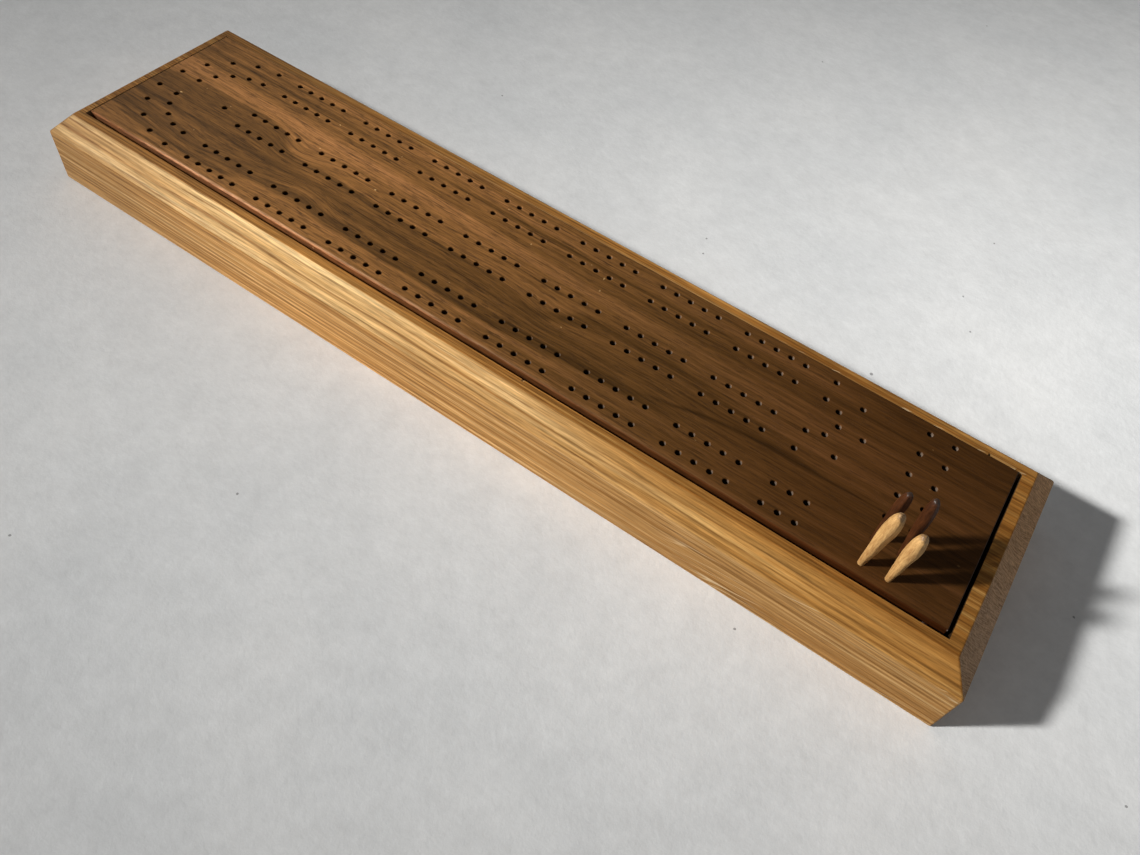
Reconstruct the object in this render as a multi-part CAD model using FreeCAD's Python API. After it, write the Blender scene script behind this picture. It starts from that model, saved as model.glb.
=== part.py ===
"""Cribbage board: an oak block with a card well, closed by a walnut lid that carries the track.

The lid turns on two hidden cross pins near its right end. Pressing that end down into the gap
beside it tips the long end up, until the short end meets the wall of its trough at 105 degrees.
Four whittled pegs stand in the last rows of the game counter.

Frame: millimetres, +Z up, origin at the centre of the block's underside, +X along the block
towards the pivot end, +Y away from the player. The lid's top is level with the block's rim.
"""
import FreeCAD, Part
import os
from math import cos, radians, sin, tan

from FreeCAD import Vector

# Block
BLOCK_LENGTH = 417.0
BLOCK_WIDTH = 103.0
BLOCK_HEIGHT = 32.5
BEVEL = 8.3               # 45 degree bevel round the top
ARRIS = 0.9               # sanded radius on the block's outer edges
RIM_LEFT = 3.2            # flat rim left of the lid
RIM_RIGHT = 4.6           # flat rim right of the gap
NICK_X = 30.6             # small dent in the front rim's inner edge
NICK_RADIUS = 0.6
NICK_DEPTH = 0.5
OVERCUT_LENGTH = 1.3      # saw mark past the rabbet's back right corner
OVERCUT_WIDTH = 0.5
OVERCUT_DEPTH = 0.8

# Lid and its rabbet
LID_THICKNESS = 8.0
LID_WIDTH = 76.2
RABBET_WIDTH = 78.9
BACK_GAP = 0.2            # the lid stands close to the back wall, so the front gap is the wide one
LEFT_GAP = 0.25
PRESS_GAP = 1.4           # gap beside the end that is pressed down
LID_EDGE = 0.7            # rounding of the lid's long top edges
LID_END_EDGE = 0.4        # rounding of the lid's short top edges
LID_BACK_CORNER = 1.0
LID_FRONT_CORNER = 0.4

# Pivot
PIN_TO_LID_END = 6.6
PIN_RADIUS = 1.5
PIN_RUNNING_GAP = 0.05
PIN_IN_BLOCK = 5.0
PIN_IN_LID = 6.5
PIN_HEAD_ROOM = 0.3       # free length of the lid's bore beyond the pin
STOP_ANGLE = 105.0
STOP_CLEARANCE = 0.05
RELIEF_LENGTH = 10.7      # shallow recess in the back wall beside the pivot
RELIEF_DEPTH = 0.7

# Card well
WELL_DEPTH = 18.5         # below the lid
WELL_WIDTH = 68.0
WELL_CORNER = 6.0
WELL_LEFT_LEDGE = 8.0
BRIDGE = 10.0             # solid between the well and the trough under the pressed end
TROUGH_DEPTH = 4.3        # below the lid

# Holes
PITCH = 6.35
HOLE_RADIUS = 1.2
HOLE_DEPTH = 6.5
HOLE_EASE = 0.12          # broken edge at each mouth
GROUPS = 7
GROUP_HOLES = 5
GROUP_PERIOD = 38.42
FIRST_HOLE_X = -145.7     # leftmost straight hole
LANE_SPACING = 9.855
PAIR_SPACING = 27.92
START_X = (123.9, 130.35, 136.8)
BIG_TURN_X = -158.5
BIG_OUTER_ANGLES = (11.4, 31.0, 50.6, 70.3, 90.0)
BIG_INNER_ANGLES = (16.4, 34.7, 53.1, 71.5, 90.0)
SMALL_TURN_X = 123.25
SMALL_TURN_ANGLES = (-90.0, -45.0, 0.0, 45.0, 90.0)
GAMES_X = 161.4           # left column of the game counter
GAMES_ROWS = 7

# Pegs: name, column, row from the front, height above the lid, widest radius, lean and its bearing
PEG_SHANK_RADIUS = 1.15
PEG_SHANK_LENGTH = 6.0
# Outline above the lid: share of the height, and of the swell from shank to widest
PEG_OUTLINE = (
    (0.0, 0.0), (0.1, 0.17), (0.3, 0.52), (0.5, 0.83), (0.68, 1.0), (0.8, 0.96),
    (0.9, 0.7), (0.965, 0.25), (1.0, -0.3),
)
PEGS = (
    ("peg_light_left", 0, 0, 31.5, 2.65, 2.3, 24.0),
    ("peg_light_right", 1, 0, 27.1, 2.60, 2.9, 70.0),
    ("peg_dark_left", 0, 1, 29.6, 2.15, 0.9, -29.0),
    ("peg_dark_right", 1, 1, 30.9, 2.15, 4.5, 136.0),
)

RIM_Z = BLOCK_HEIGHT
LEDGE_Z = RIM_Z - LID_THICKNESS
PIN_Z = RIM_Z - LID_THICKNESS / 2
RABBET_X0 = -(BLOCK_LENGTH / 2 - BEVEL) + RIM_LEFT
RABBET_X1 = BLOCK_LENGTH / 2 - BEVEL - RIM_RIGHT
LID_X0 = RABBET_X0 + LEFT_GAP
LID_X1 = RABBET_X1 - PRESS_GAP
LID_Y1 = RABBET_WIDTH / 2 - BACK_GAP
LID_Y0 = LID_Y1 - LID_WIDTH
TRACK_Y = (LID_Y0 + LID_Y1) / 2
PIN_X = LID_X1 - PIN_TO_LID_END
LANES = [TRACK_Y + pair * PAIR_SPACING + side * LANE_SPACING / 2
         for pair in (-1, 0, 1) for side in (-1, 1)]
ABOVE = 5.0               # how far a cutting solid stands past the face it cuts


def box(x0, x1, y0, y1, z0, z1):
    return Part.makeBox(x1 - x0, y1 - y0, z1 - z0, Vector(x0, y0, z0))


def edges_along(shape, axis, test):
    """Straight edges parallel to axis whose midpoint passes test."""
    found = []
    for edge in shape.Edges:
        ends = [v.Point for v in edge.Vertexes]
        if len(ends) != 2 or edge.Curve.TypeId != "Part::GeomLine":
            continue
        run = (ends[1] - ends[0]).normalize()
        if abs(abs(run.dot(axis)) - 1) < 1e-6 and test((ends[0] + ends[1]) * 0.5):
            found.append(edge)
    return found


def rounded(shape, radius, axis, test):
    return shape.makeFillet(radius, edges_along(shape, axis, test))


def trough_wall_x():
    """The wall that the lid's short end meets at the stop angle, left of the pin."""
    half = LID_THICKNESS / 2
    turn = radians(STOP_ANGLE)
    corner_x = PIN_TO_LID_END * cos(turn) - half * sin(turn)
    return PIN_X + corner_x - STOP_CLEARANCE


def make_block():
    half_l, half_w = BLOCK_LENGTH / 2, BLOCK_WIDTH / 2
    block = box(-half_l, half_l, -half_w, half_w, 0, BLOCK_HEIGHT)
    top = [e for e in block.Edges if all(abs(v.Z - BLOCK_HEIGHT) < 1e-6 for v in e.Vertexes)]
    block = block.makeChamfer(BEVEL, top)
    block = block.makeFillet(ARRIS, block.Edges)

    half_r = RABBET_WIDTH / 2
    cuts = [box(RABBET_X0, RABBET_X1, -half_r, half_r, LEDGE_Z, RIM_Z + ABOVE)]

    wall_x = trough_wall_x()
    cuts.append(box(wall_x, RABBET_X1, -half_r, half_r, LEDGE_Z - TROUGH_DEPTH, LEDGE_Z + 1))

    well = box(RABBET_X0 + WELL_LEFT_LEDGE, wall_x - BRIDGE, -WELL_WIDTH / 2, WELL_WIDTH / 2,
               LEDGE_Z - WELL_DEPTH, LEDGE_Z + 1)
    cuts.append(rounded(well, WELL_CORNER, Vector(0, 0, 1), lambda p: True))
    nick = Vector(NICK_X, -half_r - NICK_RADIUS / 2, RIM_Z - NICK_DEPTH)
    cuts.append(Part.makeCone(0, NICK_RADIUS, NICK_DEPTH, nick))
    cuts.append(box(RABBET_X1 - 1, RABBET_X1 + OVERCUT_LENGTH, half_r - OVERCUT_WIDTH, half_r,
                    RIM_Z - OVERCUT_DEPTH, RIM_Z + ABOVE))
    cuts.append(box(PIN_X - RELIEF_LENGTH / 2, PIN_X + RELIEF_LENGTH / 2, half_r - 1, half_r + RELIEF_DEPTH,
                    LEDGE_Z, RIM_Z + ABOVE))

    for side in (-1, 1):
        mouth = Vector(PIN_X, side * (half_r - 1), PIN_Z)
        cuts.append(Part.makeCylinder(PIN_RADIUS, PIN_IN_BLOCK + 1, mouth, Vector(0, side, 0)))
    for cut in cuts:
        block = block.cut(cut)
    return block


def track_holes():
    """Centre of every peg hole on the lid."""
    points = []
    for y in LANES:
        for group in range(GROUPS):
            for i in range(GROUP_HOLES):
                points.append((FIRST_HOLE_X + group * GROUP_PERIOD + i * PITCH, y))
    for y in LANES[:2]:
        points += [(x, y) for x in START_X]

    for radius, angles in ((LANES[5] - TRACK_Y, BIG_OUTER_ANGLES), (LANES[4] - TRACK_Y, BIG_INNER_ANGLES)):
        for angle in angles:
            for side in (-1, 1):
                turn = radians(side * angle)
                points.append((BIG_TURN_X - radius * cos(turn), TRACK_Y + radius * sin(turn)))
    points.append((BIG_TURN_X, TRACK_Y))

    middle = (LANES[3] + LANES[4]) / 2
    for radius in (LANES[4] - middle, LANES[5] - middle):
        for angle in SMALL_TURN_ANGLES:
            turn = radians(angle)
            points.append((SMALL_TURN_X + radius * cos(turn), middle + radius * sin(turn)))

    points += [game_hole(column, row) for column in (0, 1) for row in range(GAMES_ROWS)]
    return points


def game_hole(column, row):
    return (GAMES_X + column * LANE_SPACING,
            LANES[0] + row * (LANES[5] - LANES[0]) / (GAMES_ROWS - 1))


def make_hole_tool():
    """One peg hole with a broken edge at its mouth, on the Z axis with the mouth at z = 0."""
    outline = Part.makePolygon([
        Vector(0, 0, -HOLE_DEPTH),
        Vector(HOLE_RADIUS, 0, -HOLE_DEPTH),
        Vector(HOLE_RADIUS, 0, -HOLE_EASE),
        Vector(HOLE_RADIUS + 2 * HOLE_EASE, 0, HOLE_EASE),
        Vector(0, 0, HOLE_EASE),
        Vector(0, 0, -HOLE_DEPTH),
    ])
    return Part.Face(outline).revolve(Vector(0, 0, 0), Vector(0, 0, 1), 360)


def make_lid():
    blank = box(LID_X0, LID_X1, LID_Y0, LID_Y1, LEDGE_Z, RIM_Z)
    lid = rounded(blank, LID_BACK_CORNER, Vector(0, 0, 1), lambda p: p.y > 0)
    lid = rounded(lid, LID_FRONT_CORNER, Vector(0, 0, 1), lambda p: p.y < 0)
    lid = lid.common(rounded(blank, LID_EDGE, Vector(1, 0, 0), lambda p: p.z > LEDGE_Z + 1))
    lid = lid.common(rounded(blank, LID_END_EDGE, Vector(0, 1, 0), lambda p: p.z > LEDGE_Z + 1))

    tool = make_hole_tool()
    holes = []
    for x, y in track_holes():
        hole = tool.copy()
        hole.translate(Vector(x, y, RIM_Z))
        holes.append(hole)
    for side, lid_y in ((-1, LID_Y0), (1, LID_Y1)):
        mouth = Vector(PIN_X, lid_y + side, PIN_Z)
        holes.append(Part.makeCylinder(PIN_RADIUS + PIN_RUNNING_GAP, PIN_IN_LID + PIN_HEAD_ROOM + 1, mouth,
                                       Vector(0, -side, 0)))
    return lid.cut(Part.makeCompound(holes))


def make_pin(side, lid_y):
    """Pin pressed into the block that reaches across the gap into the lid."""
    outer_y = side * (RABBET_WIDTH / 2 + PIN_IN_BLOCK)
    inner_y = lid_y - side * PIN_IN_LID
    return Part.makeCylinder(PIN_RADIUS, abs(outer_y - inner_y), Vector(PIN_X, outer_y, PIN_Z),
                             Vector(0, -side, 0))


def make_peg(column, row, height, radius, lean, bearing):
    """Straight shank in the hole, then a swelling body that leans a little, as whittled."""
    x, y = game_hole(column, row)
    shank = Part.makeCylinder(PEG_SHANK_RADIUS, PEG_SHANK_LENGTH, Vector(x, y, RIM_Z - PEG_SHANK_LENGTH))
    drift = Vector(cos(radians(bearing)), sin(radians(bearing)), 0) * tan(radians(lean)) * height
    rings = []
    for part_up, part_out in PEG_OUTLINE:
        ring_radius = PEG_SHANK_RADIUS + (radius - PEG_SHANK_RADIUS) * part_out
        centre = Vector(x, y, RIM_Z + height * part_up) + drift * part_up
        rings.append(Part.Wire([Part.makeCircle(ring_radius, centre)]))
    return shank.fuse(Part.makeLoft(rings, True))


def main():
    os.makedirs("parts", exist_ok=True)
    nodes = {
        "board_block": make_block(),
        "track_lid": make_lid(),
        "hinge_pin_front": make_pin(-1, LID_Y0),
        "hinge_pin_back": make_pin(1, LID_Y1),
    }
    for name, *peg in PEGS:
        nodes[name] = make_peg(*peg)
    for name, shape in nodes.items():
        if not shape.isValid() or len(shape.Solids) != 1:
            raise RuntimeError(f"{name} is not one valid solid")
        shape.Solids[0].exportStep(f"parts/{name}.step")
        size = shape.BoundBox
        print(f"{name}: {size.XLength:.1f} x {size.YLength:.1f} x {size.ZLength:.1f} mm,"
              f" {shape.Volume / 1000:.1f} cm3")
    print("holes", len(track_holes()))


main()
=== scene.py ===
"""Looks of the cribbage board: oak block, walnut track lid, steel pins and four whittled pegs.

Everything is in metres in the part's own frame: +X runs along the block towards the pivot end,
+Y away from the player, +Z up. Materials work in millimetres of the same frame, so that the
grain runs through each piece as it does in solid wood.
"""

import random
from math import cos, pi, radians, sin, tan

import bmesh
import bpy
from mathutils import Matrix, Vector


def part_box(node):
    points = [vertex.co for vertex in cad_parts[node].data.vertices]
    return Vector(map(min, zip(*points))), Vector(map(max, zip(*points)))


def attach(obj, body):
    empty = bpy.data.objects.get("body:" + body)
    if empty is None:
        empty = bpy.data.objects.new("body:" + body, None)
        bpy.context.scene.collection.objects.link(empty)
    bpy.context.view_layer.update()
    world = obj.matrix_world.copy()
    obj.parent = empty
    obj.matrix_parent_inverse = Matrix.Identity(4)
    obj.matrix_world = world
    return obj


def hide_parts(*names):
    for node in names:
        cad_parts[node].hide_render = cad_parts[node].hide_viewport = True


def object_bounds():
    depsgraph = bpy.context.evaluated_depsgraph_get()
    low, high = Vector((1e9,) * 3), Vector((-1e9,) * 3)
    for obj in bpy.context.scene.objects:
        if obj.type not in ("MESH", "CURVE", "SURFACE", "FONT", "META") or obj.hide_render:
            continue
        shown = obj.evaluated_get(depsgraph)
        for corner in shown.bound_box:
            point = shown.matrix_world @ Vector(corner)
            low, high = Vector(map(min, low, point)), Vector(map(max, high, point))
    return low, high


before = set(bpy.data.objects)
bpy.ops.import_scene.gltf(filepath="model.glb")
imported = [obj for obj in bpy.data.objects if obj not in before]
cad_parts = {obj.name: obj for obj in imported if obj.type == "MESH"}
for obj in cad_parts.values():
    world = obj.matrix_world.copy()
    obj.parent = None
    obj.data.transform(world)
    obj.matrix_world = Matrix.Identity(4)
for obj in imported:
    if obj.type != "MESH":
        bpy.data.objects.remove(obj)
cad_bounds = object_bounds()

# Camera
CAMERA_PLACE = (0.13693, -0.21863, 0.29229)
CAMERA_TURN = (0.62421, -0.11068, 0.59343)
LENS = 29.202

# Light: low sun through a window. Part of it fills the room, the rest is a soft-edged pool.
SUN_HEADING = (0.80, 0.60)         # where the sunlight goes, seen from above
SUN_ELEVATION = 30.5
SUN_SIZE = 5.0                     # degrees across
SUN_COLOUR = (1.0, 0.985, 0.96)
ROOM_SUN = 0.95                    # W/m2
POOL_SUN = 5.6                     # W/m2 at the middle of the pool
POOL_MIDDLE = (0.255, 0.17, 0.0)
POOL_REACH = 0.332                 # metres from the middle to the end of the fading edge
POOL_DISTANCE = 6.0                # metres from the pool's lamp to its middle
ZENITH = 0.13                      # brightness of the sky overhead
HORIZON = 0.4                      # and low down
FLOOR_HALF = 6.0                   # metres from the middle of the floor to its edge

# Oak: growth rings are planes along X that tilt up towards the back, and rays stand square to them
RING_TILT = (-0.507, 0.862)        # their normal in Y and Z
SIDE, BEVEL, TOP = 0.0, 0.707, 1.0          # how far each face of the block looks up; the underside is -TOP
RINGS_PER_MM = ((-TOP, 0.55), (SIDE, 0.56), (BEVEL, 1.15), (TOP, 1.5))
# Colour filter for each face by how far it looks up: upward faces come out darker and warmer than the sides
OAK_TINT = ((SIDE, (0.84, 0.81, 0.79, 1)), (BEVEL, (0.715, 0.64, 0.50, 1)), (TOP, (0.62, 0.50, 0.32, 1)))
# How light the block is along its length: partly the wood's own tone, partly painted light and shade where
# the light falls unevenly along it
OAK_TONE_AND_LIGHT = ((-208, 0.84), (-165, 0.95), (-125, 1.13), (-85, 1.22), (0, 1.12), (60, 1.02), (150, 0.92),
            (208, 0.86))

# Walnut: how light the board is along its length, partly its own tone and partly painted sheen and light,
# lighter towards the left end
WALNUT_TONE_AND_SHEEN = ((-195, 1.31), (-120, 1.64), (-50, 1.54), (20, 1.14), (110, 0.67), (187, 0.43))

# Pegs: outline from the lid's face to the tip, as parts of the height and of the swell
PEG_OUTLINE = ((0, 0), (0.1, 0.17), (0.3, 0.52), (0.5, 0.83), (0.68, 1.0), (0.8, 0.96), (0.9, 0.7),
               (0.965, 0.25), (1.0, -0.3))
PEG_SIDES = 64
PEG_RINGS = 72
FLATS_START = 0.12                 # part of the height over which the long flats deepen from nothing
END_SLICE = 0.01                   # mm at each end of the CAD peg in which its end face lies
MM = 0.001


def srgb(red, green, blue):
    """Linear colour from 0-255 display values."""
    def linear(value):
        value /= 255
        return value / 12.92 if value <= 0.04045 else ((value + 0.055) / 1.055) ** 2.4
    return (linear(red), linear(green), linear(blue), 1.0)


class Nodes:
    """Builds one material's node tree. Each input is a number, a tuple or another node's output."""

    def __init__(self, name):
        self.material = bpy.data.materials.new(name)
        self.material.use_nodes = True
        self.tree = self.material.node_tree
        self.tree.nodes.clear()

    def add(self, kind, inputs, output=0, **settings):
        node = self.tree.nodes.new("ShaderNode" + kind)
        for key, value in settings.items():
            setattr(node, key, value)
        for key, value in inputs.items():
            self.feed(node.inputs[key], value)
        return node.outputs[output] if node.outputs else None

    def feed(self, socket, value):
        if isinstance(value, bpy.types.NodeSocket):
            self.tree.links.new(value, socket)
        else:
            socket.default_value = value

    def math(self, operation, a, b=0.0, clamp=False):
        return self.add("Math", {0: a, 1: b}, operation=operation, use_clamp=clamp)

    def times(self, *terms):
        total = terms[0]
        for term in terms[1:]:
            total = self.math("MULTIPLY", total, term)
        return total

    def plus(self, *terms):
        total = terms[0]
        for term in terms[1:]:
            total = self.math("ADD", total, term)
        return total

    def minus(self, a, b):
        return self.math("SUBTRACT", a, b)

    def millimetres(self):
        place = self.add("TexCoord", {}, output="Object")
        return self.add("VectorMath", {0: place, 1: (1000, 1000, 1000)}, operation="MULTIPLY")

    def split(self, vector):
        node = self.tree.nodes.new("ShaderNodeSeparateXYZ")
        self.tree.links.new(vector, node.inputs[0])
        return node.outputs[0], node.outputs[1], node.outputs[2]

    def facing(self):
        """How far the surface faces along X, Y and Z, each from -1 to 1."""
        return self.split(self.add("TexCoord", {}, output="Normal"))

    def join(self, x, y, z):
        return self.add("CombineXYZ", {0: x, 1: y, 2: z})

    def noise(self, place, scale, detail=2.0, roughness=0.5, seed=0.0, distortion=0.0):
        """Cloudy value from 0 to 1. scale is cells per unit along X, Y and Z."""
        moved = self.add("VectorMath", {0: place, 1: scale, 2: (seed, seed * 1.7, seed * 0.6)},
                         operation="MULTIPLY_ADD")
        return self.add("TexNoise", {"Vector": moved, "Scale": 1.0, "Detail": detail,
                                     "Roughness": roughness, "Distortion": distortion})

    def sway(self, place, scale, reach, detail=1.0, seed=0.0):
        """Cloudy value centred on zero that swings by about reach to each side."""
        value = self.noise(place, scale, detail, seed=seed)
        return self.times(self.minus(value, 0.5), 2.5 * reach)

    def between(self, value, low, high):
        """Smooth step from 0 at low to 1 at high."""
        return self.add("MapRange", {"Value": value, "From Min": low, "From Max": high},
                        interpolation_type="SMOOTHSTEP")

    def until(self, value, low, high):
        """Smooth step from 1 at low to 0 at high."""
        return self.minus(1.0, self.between(value, low, high))

    def curve(self, value, points):
        """Smooth line through points, each a place along value and its height there."""
        places = [place for place, height in points]
        heights = [height for place, height in points]
        low, span = min(heights), max(heights) - min(heights)
        node = self.tree.nodes.new("ShaderNodeFloatCurve")
        line = node.mapping.curves[0]
        while len(line.points) < len(points):
            line.points.new(0.5, 0.5)
        for point, (place, height) in zip(line.points, points):
            point.location = ((place - places[0]) / (places[-1] - places[0]), (height - low) / span)
        node.mapping.update()
        share = self.add("MapRange", {"Value": value, "From Min": places[0], "From Max": places[-1]})
        self.tree.links.new(share, node.inputs["Value"])
        return self.plus(self.times(node.outputs[0], span), low)

    def stripe(self, value, centre, reach, soft):
        """1 where value is within reach of centre, fading to 0 over the distance soft."""
        gap = self.math("ABSOLUTE", self.minus(value, centre))
        past = self.math("DIVIDE", self.minus(gap, reach), soft)
        return self.until(past, -0.5, 0.5)

    def thread(self, value, core, end):
        """1 where value, a cloudy value, crosses 0.5 within core, fading to 0 at end."""
        return self.until(self.math("ABSOLUTE", self.minus(value, 0.5)), core, end)

    def knot(self, x, y, centre, reach):
        """Bump of height 1 at centre that fades over reach along X and Y."""
        across = self.math("DIVIDE", self.minus(x, centre[0]), reach[0])
        up = self.math("DIVIDE", self.minus(y, centre[1]), reach[1])
        square = self.plus(self.times(across, across), self.times(up, up))
        return self.math("POWER", 2.718, self.times(square, -1.0))

    def ramp(self, value, stops):
        node = self.tree.nodes.new("ShaderNodeValToRGB")
        elements = node.color_ramp.elements
        while len(elements) < len(stops):
            elements.new(0.5)
        for element, (position, colour) in zip(elements, stops):
            element.position = position
            element.color = colour
        self.tree.links.new(value, node.inputs[0])
        return node.outputs[0]

    def mix(self, share, a, b, blend="MIX"):
        node = self.tree.nodes.new("ShaderNodeMix")
        node.data_type = "RGBA"
        node.blend_type = blend
        for key, value in (("Factor", share), ("A", a), ("B", b)):
            socket = [s for s in node.inputs if s.name == key and
                      s.type == ("VALUE" if key == "Factor" else "RGBA")][0]
            self.feed(socket, value)
        return [s for s in node.outputs if s.type == "RGBA"][0]

    def tint(self, colour, filter_colour):
        """Colour multiplied by filter_colour, channel by channel."""
        return self.mix(1.0, colour, filter_colour, "MULTIPLY")

    def shade(self, colour, amount):
        """Colour made darker or lighter by the factor amount."""
        return self.add("VectorMath", {0: colour, "Scale": amount}, operation="SCALE")

    def bump(self, height, depth, strength=1.0):
        """Surface relief. height runs from 0 to 1 and depth is its size in metres."""
        return self.add("Bump", {"Height": height, "Distance": depth, "Strength": strength})

    def surface(self, colour, roughness, normal, **extra):
        inputs = {"Base Color": colour, "Roughness": roughness, "Normal": normal}
        inputs.update({key.replace("_", " "): value for key, value in extra.items()})
        shader = self.add("BsdfPrincipled", inputs)
        self.add("OutputMaterial", {"Surface": shader})
        return self.material

    def along_grain(self):
        """Tangent that turns round the X axis, so that gloss spreads across fibres along X."""
        return self.add("Tangent", {}, direction_type="RADIAL", axis="X")


def millimetre_box(node):
    """Low and high corner of a CAD node, in millimetres."""
    low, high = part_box(node)
    return low / MM, high / MM


def oak():
    """Straight-grained oak: ring bands, pore dashes, ray flecks and greyer end grain."""
    n = Nodes("oak")
    place = n.millimetres()
    x, y, z = n.split(place)
    along, back, up = n.facing()
    front_side = n.stripe(back, -1.0, 0.2, 0.2)
    lean_y, lean_z = RING_TILT
    ring = n.plus(n.times(y, lean_y), n.times(z, lean_z),
                  n.sway(place, (0.006, 0.02, 0.02), 0.22),
                  n.sway(place, (0.025, 0.06, 0.06), 0.07, seed=4))
    ray = n.plus(n.times(y, lean_z), n.times(z, -lean_y),
                 n.sway(place, (0.014, 0.05, 0.05), 2.2, seed=7))

    cloud = n.noise(n.join(x, n.times(ring, 2.4), ray), (0.004, 0.3, 0.1),
                    detail=2.5, roughness=0.65, seed=3)
    colour = n.ramp(cloud, [(0.3, srgb(160, 112, 56)), (0.5, srgb(198, 150, 88)),
                            (0.68, srgb(228, 188, 128))])
    early = early_wood(n, place, x, ring, up)
    depth = n.curve(up, [(-TOP, 0.5), (SIDE, 0.7), (BEVEL, 1.0), (TOP, 1.0)])
    colour = n.mix(n.times(early, depth), colour, srgb(134, 86, 38))

    fibre = n.noise(place, (0.05, 1.4, 1.4), detail=3, roughness=0.75)
    cord = n.noise(place, (0.012, 0.7, 0.7), detail=2, roughness=0.6, seed=14)
    streak = n.plus(n.times(fibre, 0.72), n.times(cord, 0.28))
    strong = n.curve(up, [(-TOP, 1.5), (SIDE, 2.0), (BEVEL, 2.9), (TOP, 3.0)])
    colour = n.shade(colour, n.plus(1.0, n.times(n.minus(streak, 0.5), strong)))
    pore = n.noise(place, (0.09, 1.8, 1.8), detail=1, seed=9)
    pore = n.times(n.between(pore, 0.57, 0.65), n.plus(0.35, n.times(early, 0.65)))
    colour = n.mix(n.times(pore, 0.6), colour, srgb(120, 74, 30))
    fleck = n.times(ray_flecks(n, place, x, z), n.between(x, 90, 125), front_side)
    colour = n.mix(n.times(fleck, 0.8), colour, srgb(250, 222, 176))

    blotch = n.noise(place, (0.008, 0.03, 0.03), detail=2, seed=20)
    # Painted shade: the back of the block towards the left, and its front face towards the right end, are
    # darkened
    painted_shade_back_left = n.times(n.between(y, 0, 45), n.until(x, -80, 90))
    painted_shade_front_right = n.times(front_side, n.between(x, 0, 160))
    # Tone along the block: the wood's own tone and random blotches, with painted light and shade from the
    # uneven light along it
    tone = n.times(n.curve(x, OAK_TONE_AND_LIGHT), n.plus(0.88, n.times(blotch, 0.24)),
                   n.minus(1.0, n.plus(n.times(painted_shade_back_left, 0.3), n.times(painted_shade_front_right, 0.1))))
    colour = n.tint(n.shade(colour, tone), n.ramp(up, OAK_TINT))
    # Painted sheen: the front bevel lightened and paled where the sun glances off it, strongest left of the
    # middle
    painted_sheen_share = n.curve(x, [(-208, 0.3), (-165, 0.45), (-85, 0.85), (0, 0.42), (70, 0.16), (120, 0.0)])
    painted_sheen_colour = n.tint(colour, (1.5, 2.1, 3.8, 1))
    colour = n.mix(n.times(n.stripe(up, BEVEL, 0.15, 0.2), painted_sheen_share), colour, painted_sheen_colour)

    end = n.between(n.math("ABSOLUTE", along), 0.45, 0.7)
    hatch = n.noise(n.join(ring, ray, x), (0.3, 3.2, 0.1), detail=2, seed=40)
    grit = n.noise(n.join(ring, ray, x), (1.4, 1.1, 0.1), detail=2, seed=41)
    sawn = n.ramp(n.plus(n.times(hatch, 0.65), n.times(grit, 0.35)),
                  [(0.38, srgb(104, 76, 50)), (0.62, srgb(162, 128, 94))])
    sawn = n.shade(sawn, n.plus(1.55, n.times(y, 0.0085)))
    colour = n.mix(n.times(end, 0.88), colour, sawn)
    # Painted shade: the block's wall facing the lid's right end, inside the gap, painted nearly black
    lid_end = millimetre_box("track_lid")[1].x
    painted_gap_shade = n.times(n.between(n.times(along, -1), 0.5, 0.7), n.between(x, lid_end - 4, lid_end - 2))
    colour = n.mix(n.times(painted_gap_shade, 0.92), colour, srgb(26, 16, 8))

    relief = n.plus(n.times(streak, 0.6), n.times(pore, -0.6), n.times(end, n.times(hatch, 0.4)))
    roughness = n.plus(0.5, n.times(n.noise(place, (0.05, 0.3, 0.3), seed=2), 0.14))
    return n.surface(colour, roughness, n.bump(relief, 0.00012), IOR=1.48, Metallic=0.1,
                     Specular_IOR_Level=0.25, Specular_Tint=(1.0, 0.82, 0.55, 1), Anisotropic=0.7,
                     Tangent=n.along_grain())


def early_wood(n, place, x, ring, up):
    """The dark line of each growth ring. Lines are wider apart where a face cuts the rings at a slant,
    and they fade towards the right end."""
    phase = n.plus(n.times(ring, n.curve(up, RINGS_PER_MM)),
                   n.sway(place, (0.006, 0.13, 0.13), 0.75, detail=3, seed=8))
    gap = n.times(2.0, n.math("ABSOLUTE", n.minus(n.math("FRACT", phase), 0.5)))
    width = n.curve(up, [(-TOP, 0.6), (SIDE, 0.7), (BEVEL, 0.4), (TOP, 0.55)])
    strength = n.noise(place, (0.012, 0.25, 0.25), detail=1, seed=21)
    return n.times(n.until(gap, 0.0, width),
                   n.plus(0.25, n.times(n.between(strength, 0.35, 0.6), 0.75)),
                   n.curve(x, [(-208, 1.0), (0, 0.92), (60, 0.68), (208, 0.45)]))


def ray_flecks(n, place, x, z):
    """Groups of short pale lines that slant across the side grain."""
    slope = n.plus(z, n.times(x, -0.16), n.sway(place, (0.03, 0.1, 0.1), 1.5, seed=33))
    line = n.noise(n.join(x, slope, 0.0), (0.02, 0.3, 1.0), detail=0, seed=35)
    group = n.noise(n.join(x, z, 0.0), (0.02, 0.06, 1.0), detail=0, seed=38)
    return n.times(n.thread(line, 0.008, 0.028), n.between(group, 0.46, 0.58))


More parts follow.
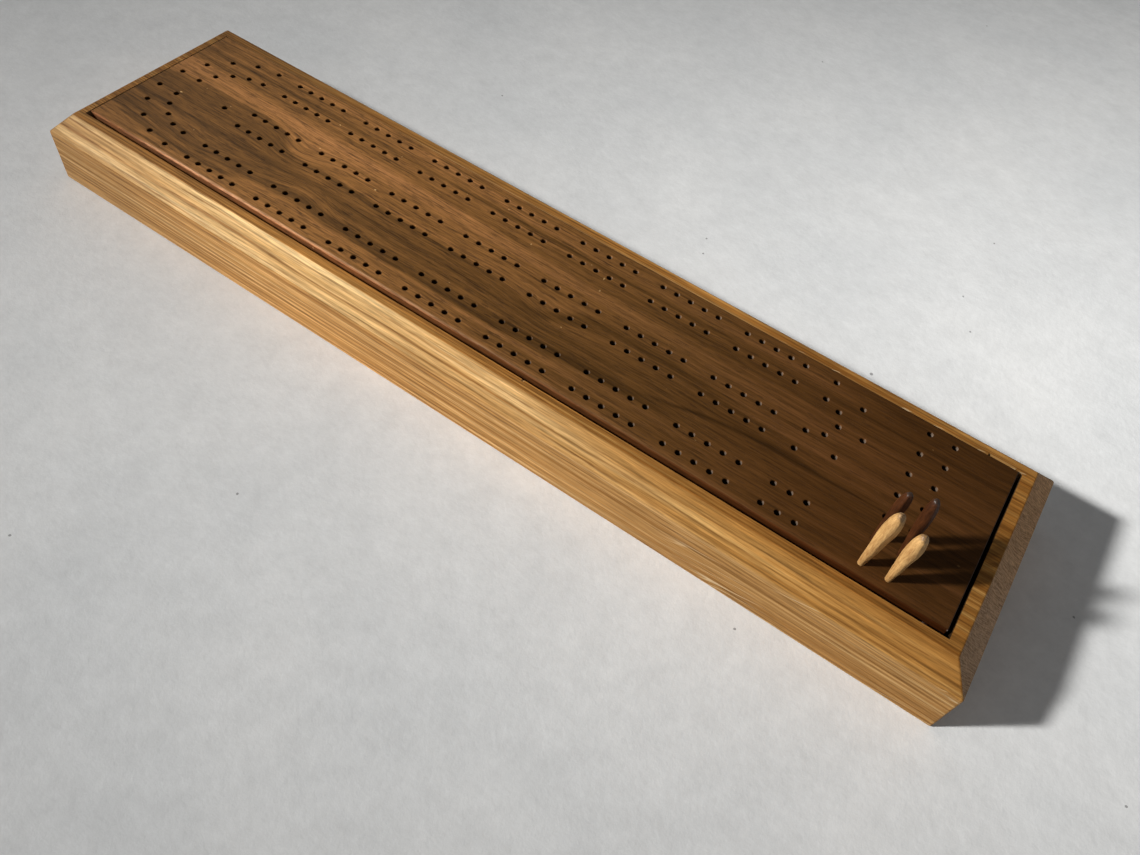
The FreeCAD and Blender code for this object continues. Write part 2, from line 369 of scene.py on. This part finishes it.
def walnut():
    """Walnut board: dark heart figure, lighter bands, swirls round small knots, fine pores."""
    n = Nodes("walnut")
    place = n.millimetres()
    x, y, z = n.split(place)
    swirl = n.plus(n.times(n.knot(x, y, (-114, 1), (13, 8)), 4.5),
                   n.times(n.knot(x, y, (-97, -17), (15, 7)), -4.0),
                   n.times(n.knot(x, y, (-148, -24), (22, 8)), 3.5),
                   n.times(n.knot(x, y, (22, -8), (18, 8)), 3.0))
    across = n.plus(y, n.times(z, 0.3), swirl,
                    n.sway(place, (0.007, 0.02, 0.02), 1.2),
                    n.sway(place, (0.035, 0.06, 0.06), 0.7, seed=3))
    grain = n.join(x, across, z)
    band = n.noise(grain, (0.0045, 0.24, 0.02), detail=5, roughness=0.75, seed=5)
    dark = n.plus(walnut_figure(n, x, n.minus(across, 9.75)), n.times(n.minus(0.5, band), 2.2))
    colour = n.ramp(n.minus(0.68, n.times(dark, 0.5)),
                    [(0.2, srgb(66, 43, 16)), (0.45, srgb(91, 61, 27)), (0.65, srgb(115, 78, 39)),
                     (0.9, srgb(140, 96, 55))])

    streak = n.noise(grain, (0.075, 1.15, 1.15), detail=3, roughness=0.75, seed=1)
    crisp = n.curve(x, [(-195, 1.0), (-60, 1.15), (60, 0.85), (195, 0.45)])
    line = n.thread(n.noise(grain, (0.006, 0.5, 0.1), detail=2, roughness=0.6, seed=15), 0.005, 0.04)
    dash = n.between(n.noise(grain, (0.05, 0.95, 0.95), detail=2, roughness=0.6, seed=24), 0.56, 0.64)
    grain_shade = n.plus(n.times(n.minus(streak, 0.5), 1.9), n.times(line, -0.16), n.times(dash, -0.3))
    colour = n.shade(colour, n.plus(1.06, n.times(grain_shade, crisp)))
    pore = n.between(n.noise(grain, (0.16, 2.2, 2.2), detail=1, seed=12), 0.6, 0.67)
    colour = n.mix(n.times(pore, 0.4, crisp), colour, srgb(44, 27, 12))
    speck = n.between(n.noise(place, (0.45, 0.45, 0.45), detail=0, seed=60), 0.885, 0.9)
    colour = n.mix(n.times(speck, 0.7), colour, srgb(186, 150, 100))
    colour = edges_and_holes(n, colour, (x, y, z), streak)

    relief = n.plus(n.times(streak, 0.6), n.times(pore, -0.6))
    roughness = n.plus(0.46, n.times(n.noise(place, (0.02, 0.05, 0.05), seed=8), 0.14))
    return n.surface(colour, roughness, n.bump(relief, 0.0001), IOR=1.46, Metallic=0.25,
                     Specular_IOR_Level=0.12, Anisotropic=0.85, Tangent=n.along_grain())


def walnut_figure(n, x, level):
    """How dark the lid's large figure is at x and at level, which is Y on the lid's face."""
    past_swirl = n.between(x, -118, -96)
    heart_middle = n.curve(x, [(-195, -11), (-140, -11), (-112, -13), (-70, -15), (-30, -16), (20, -17),
                               (60, -16), (195, -14)])
    heart_reach = n.curve(x, [(-195, 16), (-140, 18.5), (-112, 13), (-70, 12), (-30, 11), (20, 8),
                              (60, 6), (195, 4)])
    heart = n.times(n.stripe(level, heart_middle, heart_reach, 3.0),
                    n.minus(1.0, n.times(n.between(x, 30, 120), 0.75)),
                    n.minus(1.0, n.times(past_swirl, 0.45)))
    upper_place = n.curve(x, [(-110, -3), (-60, -5), (-10, -6), (30, -10)])
    upper_line = n.times(n.stripe(level, upper_place, 0.9, 2.6), past_swirl, n.until(x, -20, 30))
    lower_place = n.curve(x, [(-120, -25), (-70, -24), (-10, -24), (50, -21), (90, -19)])
    lower_line = n.times(n.stripe(level, lower_place, 2.4, 2.4), past_swirl, n.until(x, 50, 110))
    branch_place = n.curve(x, [(-30, -14), (10, -9), (45, 1), (80, 0), (130, -3)])
    branch = n.times(n.stripe(level, branch_place, 2.6, 4.0), n.between(x, 0, 30), n.until(x, 70, 125))
    late_place = n.curve(x, [(60, -19), (75, -16), (105, -10), (150, -9), (195, -9)])
    late_line = n.times(n.stripe(level, late_place, 0.5, 2.2), n.between(x, 62, 85), n.until(x, 120, 165))
    pale_place = n.curve(x, [(-195, 12), (-130, 14), (-90, 9), (-40, 9), (60, 10)])
    pale = n.times(n.stripe(level, pale_place, 6.5, 7.0), n.between(x, -150, -105), n.until(x, -40, 40))
    middle_band = n.times(n.stripe(level, -6.5, 5.0, 7.0), n.between(x, -110, -70), n.until(x, 100, 150))
    back_line = n.times(n.stripe(level, 27.5, 0.6, 2.6), n.until(x, 0, 80))
    back_band = n.times(n.stripe(level, 29, 9.0, 9.0), n.until(x, -165, -60))
    back_edge = n.times(n.between(level, 20, 32), n.between(x, 110, 160))
    return n.plus(n.times(heart, 0.6), n.times(upper_line, 0.3), n.times(lower_line, 0.4),
                  n.times(branch, 0.55), n.times(late_line, 0.85), n.times(pale, -0.1),
                  n.times(middle_band, 0.2), n.times(back_line, 0.5), n.times(back_band, 0.35),
                  n.times(back_edge, 0.35))


def edges_and_holes(n, colour, place, streak):
    """Adds a painted highlight on the sunlit front edge, the reddened front with painted shade, painted
    shade in the holes, painted sunlight on hole walls facing the sun, a painted glint on the right end
    edge, and the lid's tone along its length with painted sheen.
    """
    x, y, z = place
    along, back, up = n.facing()
    low, high = millimetre_box("track_lid")
    middle_y, half_width = (low.y + high.y) / 2, (high.y - low.y) / 2
    from_front = n.minus(y, low.y)
    from_right = n.minus(high.x, x)
    depth = n.minus(high.z, z)

    # Painted highlight: the sunlit rounding and margin of the lid's front edge lightened, strongest left of
    # the middle, broken by the grain
    painted_edge_highlight = n.times(n.until(from_front, 0.65, 1.75), n.between(up, 0.5, 0.7))
    sunlit = n.curve(x, [(-195, 0.0), (-172, 0.04), (-150, 0.42), (-40, 0.36), (60, 0.12), (195, 0)])
    broken = n.plus(0.45, n.times(n.between(streak, 0.4, 0.58), 0.55))
    colour = n.mix(n.times(painted_edge_highlight, sunlit, broken), colour, srgb(232, 182, 140))
    # The lid's front rounding and front wall, in the gap along the rim, darkened and reddened: painted
    # shade with a redder colour
    front = n.times(n.until(from_front, 0.35, 0.6), n.between(up, -0.5, -0.2))
    reddish_shade = n.curve(x, [(-195, 0.65), (20, 0.7), (195, 0.85)])
    colour = n.mix(n.times(front, reddish_shade), colour, n.tint(colour, (0.60, 0.36, 0.28, 1)))
    colour = n.mix(n.between(x, 50, 170), colour, n.tint(colour, (1.03, 0.92, 0.84, 1)))

    # Painted shade: the walls of the peg holes darkened nearly to black
    painted_hole_shade = n.times(n.between(depth, 0.2, 0.9), n.stripe(y, middle_y, half_width - 0.6, 0.6),
                      n.stripe(x, 0, 194.5, 0.6), n.between(up, -0.6, -0.3))
    colour = n.mix(n.times(painted_hole_shade, 0.8), colour, srgb(30, 17, 9))
    # The lid's tone along its length, with painted sheen and light making it lighter towards the left end
    colour = n.shade(colour, n.curve(x, WALNUT_TONE_AND_SHEEN))

    # Painted sunlight: hole walls that face the sun are lightened, in the middle part of the lid
    sunward = n.times(n.plus(n.times(along, SUN_HEADING[0]), n.times(back, SUN_HEADING[1])), -1)
    inside = n.times(n.stripe(y, middle_y, half_width - 1.1, 0.6), n.stripe(x, 0, 192.0, 0.6))
    lit_wall = n.times(n.between(sunward, 0.65, 0.9), inside, n.between(x, -60, 60))
    colour = n.mix(n.times(lit_wall, 0.8), colour, srgb(128, 112, 98))
    # Painted highlight: a thin grey glint of the sky along the lid's right end edge
    painted_glint_edge = n.times(n.until(from_right, 0.3, 0.6), n.stripe(up, 0.6, 0.25, 0.2))
    return n.mix(n.times(painted_glint_edge, 0.7), colour, srgb(120, 110, 104))


def steel():
    """Ground steel rod with fine turning marks across its length."""
    n = Nodes("steel")
    place = n.millimetres()
    marks = n.noise(place, (0.4, 9.0, 0.4), detail=2)
    colour = n.ramp(marks, [(0.3, srgb(150, 150, 152)), (0.7, srgb(196, 196, 198))])
    return n.surface(colour, n.plus(0.22, n.times(marks, 0.15)), n.bump(marks, 0.00002), Metallic=1.0)


def peg_wood(name, deep, pale, cap, roughness, relief_depth, gloss):
    """Whittled wood: fibres up the peg, blotches, and darker end grain where the tip is cut."""
    n = Nodes(name)
    place = n.millimetres()
    streak = n.noise(place, (2.2, 2.2, 0.3), detail=3, roughness=0.7)
    blotch = n.noise(place, (0.4, 0.4, 0.15), detail=2, seed=6)
    colour = n.ramp(n.plus(n.times(streak, 0.65), n.times(blotch, 0.35)), [(0.3, deep), (0.64, pale)])
    grit = n.noise(place, (2.4, 2.4, 2.4), detail=2, seed=3)
    end = n.between(n.facing()[2], 0.35, 0.75)
    colour = n.mix(n.times(end, n.plus(0.25, n.times(n.between(grit, 0.4, 0.55), 0.65))), colour, cap)
    height = n.plus(n.times(streak, 0.7), n.times(grit, 0.3))
    shine = n.plus(gloss, n.times(end, 0.25))
    return n.surface(colour, n.minus(roughness, n.times(end, 0.12)), n.bump(height, relief_depth), IOR=1.5,
                     Specular_IOR_Level=shine)


def paper():
    """White paper: clouds, mottling, fibre texture and a few dark specks."""
    n = Nodes("paper")
    place = n.millimetres()
    cloud = n.noise(place, (0.012, 0.012, 0.012), detail=3)
    colour = n.ramp(cloud, [(0.3, srgb(226, 228, 229)), (0.7, srgb(236, 237, 237))])
    mottle = n.noise(place, (0.11, 0.11, 0.11), detail=5, roughness=0.75, seed=11)
    colour = n.shade(colour, n.plus(0.84, n.times(mottle, 0.32)))
    fibre = n.noise(place, (0.35, 0.35, 0.35), detail=4, roughness=0.65)
    speck = n.between(n.noise(place, (0.3, 0.3, 0.3), detail=0, seed=5), 0.9, 0.91)
    colour = n.mix(n.times(speck, 0.6), colour, srgb(70, 70, 70))
    return n.surface(colour, 0.9, n.bump(fibre, 0.0003, 0.5))


def paint(node, material):
    """Puts material in every slot of a CAD node."""
    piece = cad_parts[node]
    if not piece.material_slots:
        piece.data.materials.append(material)
    for slot in piece.material_slots:
        slot.material = material


def height_on(points, place):
    """Smooth line through points, from their neighbours' slopes."""
    last = len(points) - 1
    i = max(k for k in range(last) if points[k][0] <= place)

    def slope(k):
        a, b = points[max(k - 1, 0)], points[min(k + 1, last)]
        return (b[1] - a[1]) / (b[0] - a[0])

    (x0, y0), (x1, y1) = points[i], points[i + 1]
    t = (place - x0) / (x1 - x0)
    run = x1 - x0
    return (y0 * (2 * t**3 - 3 * t**2 + 1) + y1 * (3 * t**2 - 2 * t**3)
            + run * slope(i) * (t**3 - 2 * t**2 + t) + run * slope(i + 1) * (t**3 - t**2))


def whittled_peg(node, cuts, tip_cuts, seed):
    """Peg with knife facets. cuts are (bearing in degrees, depth) of the long flats, where depth is how
    far each lies inside the round outline; tip_cuts are (bearing, rise in degrees, how far up the peg
    the slanted cut meets the axis)."""
    marks = random.Random(seed)
    points = [v.co.copy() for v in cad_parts[node].data.vertices]
    low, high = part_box(node)
    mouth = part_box("track_lid")[1].z
    end_face = [p for p in points if p.z < low.z + END_SLICE * MM]
    foot = middle(end_face)
    tip = middle([p for p in points if p.z > high.z - END_SLICE * MM])
    shank = max((p - foot).xy.length for p in end_face)
    height = tip.z - mouth

    def axis(z):
        part = max(z - mouth, 0) / height
        return Vector((foot.x + (tip.x - foot.x) * part, foot.y + (tip.y - foot.y) * part, z))

    swell = max((p - axis(p.z)).xy.length for p in points) - shank
    waves = [(marks.uniform(1.2, 2.6), marks.uniform(0, 2 * pi)) for _ in cuts]

    def reach(angle, part):
        """Distance from the axis to the whittled surface."""
        outline = shank + swell * height_on(PEG_OUTLINE, part)
        best = outline
        fade = min(part / FLATS_START, 1.0)
        for (bearing, depth), (speed, phase) in zip(cuts, waves):
            facing = cos(angle - radians(bearing))
            if facing > 0.2:
                flat = 1 - fade * depth * (0.8 + 0.35 * sin(2 * pi * speed * part + phase))
                best = min(best, outline * flat / facing)
        for bearing, rise, meets in tip_cuts:
            facing = cos(angle - radians(bearing))
            if facing > 0.05:
                slant = (meets - part) * height * tan(radians(rise)) / facing
                best = min(best, max(slant, 0.25 * outline))
        return best

    angles = [2 * pi * k / PEG_SIDES for k in range(PEG_SIDES)]
    rings = [[axis(z) + shank * turn(angle) for angle in angles]
             for z in (low.z, low.z + 3 * MM, mouth - 0.4 * MM)]
    for i in range(PEG_RINGS + 1):
        part = i / PEG_RINGS
        centre = axis(mouth + part * height)
        rings.append([centre + reach(angle, part) * turn(angle) for angle in angles])

    peg = bpy.data.objects.new(node + "_whittled", skin(node + "_whittled", rings, foot, tip))
    bpy.context.scene.collection.objects.link(peg)
    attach(peg, node)
    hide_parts(node)
    return peg


def skin(name, rings, foot, tip):
    """Closed smooth mesh over rings of points, from the lowest ring up."""
    mesh = bmesh.new()
    rings = [[mesh.verts.new(point) for point in ring] for ring in rings]
    count = len(rings[0])
    for lower, upper in zip(rings[:-1], rings[1:]):
        for k in range(count):
            following = (k + 1) % count
            mesh.faces.new((lower[k], lower[following], upper[following], upper[k]))
    for ring, at in ((rings[0][::-1], foot), (rings[-1], tip)):
        hub = mesh.verts.new(at)
        for k in range(count):
            mesh.faces.new((ring[k], ring[(k + 1) % count], hub))
    data = bpy.data.meshes.new(name)
    mesh.to_mesh(data)
    mesh.free()
    data.shade_smooth()
    return data


def middle(points):
    return sum(points, Vector()) / len(points)


def turn(angle):
    """Unit vector at angle, seen from above."""
    return Vector((cos(angle), sin(angle), 0))


def make_pegs():
    """Four pegs: the light pair in the front row and the dark pair behind, each carved differently."""
    light = peg_wood("light_peg", srgb(142, 96, 48), srgb(210, 167, 106), srgb(96, 72, 46),
                     roughness=0.62, relief_depth=0.0002, gloss=0.35)
    dark = peg_wood("dark_peg", srgb(42, 20, 6), srgb(80, 44, 20), srgb(52, 44, 38),
                    roughness=0.52, relief_depth=0.00008, gloss=0.15)
    round_flats = ((-146, 0.13), (-44, 0.17), (6, 0.10), (52, 0.09), (98, 0.08), (142, 0.10), (-178, 0.06))
    pegs = (
        ("peg_light_left", light, "light_peg", 0, ((-25, 38, 1.0), (120, 55, 1.08))),
        ("peg_light_right", light, "light_peg", 14, ((-20, 30, 1.03), (150, 50, 1.10))),
        ("peg_dark_left", dark, "dark_peg", -9, ((-70, 40, 1.08), (80, 50, 1.10))),
        ("peg_dark_right", dark, "dark_peg", 21, ((-110, 38, 1.07), (40, 48, 1.10))),
    )
    for seed, (node, material, slot, twist, tip_cuts) in enumerate(pegs):
        flats = [(bearing + twist, depth) for bearing, depth in round_flats]
        peg = whittled_peg(node, flats, tip_cuts, seed)
        peg.data.materials.append(material)


def make_floor():
    mesh = bpy.data.meshes.new("floor")
    corners = [(side_x * FLOOR_HALF, side_y * FLOOR_HALF, 0)
               for side_x, side_y in ((-1, -1), (1, -1), (1, 1), (-1, 1))]
    mesh.from_pydata(corners, [], [(0, 1, 2, 3)])
    floor = bpy.data.objects.new("floor", mesh)
    floor.location.z = cad_bounds[0][2] - 0.0001
    bpy.context.scene.collection.objects.link(floor)
    mesh.materials.append(paper())


def make_sky():
    world = bpy.data.worlds.new("studio")
    world.use_nodes = True
    bpy.context.scene.world = world
    nodes, links = world.node_tree.nodes, world.node_tree.links
    place = nodes.new("ShaderNodeTexCoord")
    parts = nodes.new("ShaderNodeSeparateXYZ")
    ramp = nodes.new("ShaderNodeValToRGB")
    links.new(place.outputs["Generated"], parts.inputs[0])
    links.new(parts.outputs[2], ramp.inputs[0])
    links.new(ramp.outputs[0], nodes["Background"].inputs["Color"])
    ramp.color_ramp.elements[0].color = (HORIZON, HORIZON, HORIZON, 1)
    ramp.color_ramp.elements[1].color = (ZENITH, ZENITH, ZENITH, 1)
    ramp.color_ramp.elements[1].position = 0.5


def add_lamp(lamp, heading, place=(0, 0, 0)):
    lamp.color = SUN_COLOUR
    source = bpy.data.objects.new(lamp.name, lamp)
    source.location = place
    source.rotation_euler = heading.to_track_quat("-Z", "Y").to_euler()
    bpy.context.scene.collection.objects.link(source)


def make_light():
    """The same low sun twice: everywhere, and again as a pool with a soft edge."""
    flat = cos(radians(SUN_ELEVATION))
    heading = Vector((SUN_HEADING[0] * flat, SUN_HEADING[1] * flat, -sin(radians(SUN_ELEVATION))))
    room = bpy.data.lights.new("room_sun", "SUN")
    room.energy = ROOM_SUN
    room.angle = radians(SUN_SIZE)
    add_lamp(room, heading)

    pool = bpy.data.lights.new("pool_sun", "SPOT")
    pool.energy = POOL_SUN * 4 * pi * POOL_DISTANCE**2
    pool.shadow_soft_size = POOL_DISTANCE * tan(radians(SUN_SIZE / 2))
    pool.spot_size = 2 * POOL_REACH / POOL_DISTANCE
    pool.spot_blend = 1.0
    add_lamp(pool, heading, Vector(POOL_MIDDLE) - heading * POOL_DISTANCE)
    make_sky()


def make_camera():
    data = bpy.data.cameras.new("camera")
    data.lens = LENS
    data.sensor_width = 36
    data.clip_start = 0.01
    camera = bpy.data.objects.new("camera", data)
    camera.location = CAMERA_PLACE
    camera.rotation_euler = CAMERA_TURN
    bpy.context.scene.collection.objects.link(camera)
    bpy.context.scene.camera = camera


def main():
    bpy.context.scene.view_settings.view_transform = "Standard"
    make_camera()
    make_light()
    make_floor()
    paint("board_block", oak())
    paint("track_lid", walnut())
    pin = steel()
    paint("hinge_pin_front", pin)
    paint("hinge_pin_back", pin)
    make_pegs()


main()
